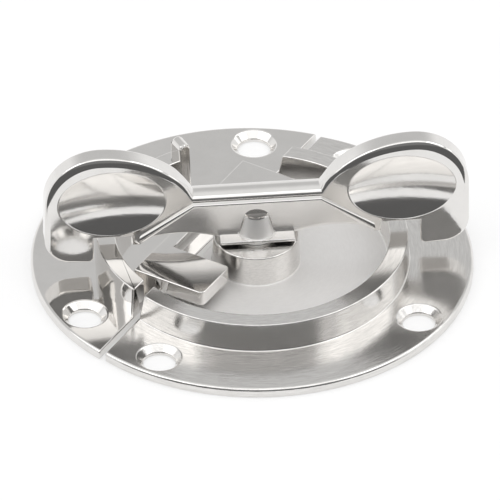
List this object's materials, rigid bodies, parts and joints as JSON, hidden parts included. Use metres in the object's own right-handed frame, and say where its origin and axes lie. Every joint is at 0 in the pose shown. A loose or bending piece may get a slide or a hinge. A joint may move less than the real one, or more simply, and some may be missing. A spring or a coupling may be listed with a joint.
{
  "type": "twist button catch",
  "caption": "Round split door catch: a butterfly wing turns on the main plate's boss and swings over the ring wall of a separate keeper.",
  "frame": {"origin": "middle of the two plates' round footprint, on the mounting face", "axes": "+Z out of the mounting face towards the wing, +X from the keeper to the main plate, +Y along the split between them"},
  "size_m": [0.0642, 0.063, 0.0221],
  "materials": {
    "polished_steel": "mirror polished casting",
    "satin_steel": "polished casting with fine brush lines on the flat faces",
    "spring_steel": "rolled sheet"
  },
  "bodies": {
    "base": {"main_plate": "satin_steel", "keeper_plate": "polished_steel", "disc_spring": "spring_steel", "thrust_washer": "spring_steel"},
    "wing": {"wing_knob": "polished_steel", "retaining_ring": "spring_steel"}
  },
  "joints": [
    {"name": "wing_turn", "type": "hinge", "parent": "base", "child": "wing", "pos_m": [0.00065, 0, 0], "axis": [0, 0, 1], "range_deg": [-55, 104]}
  ]
}
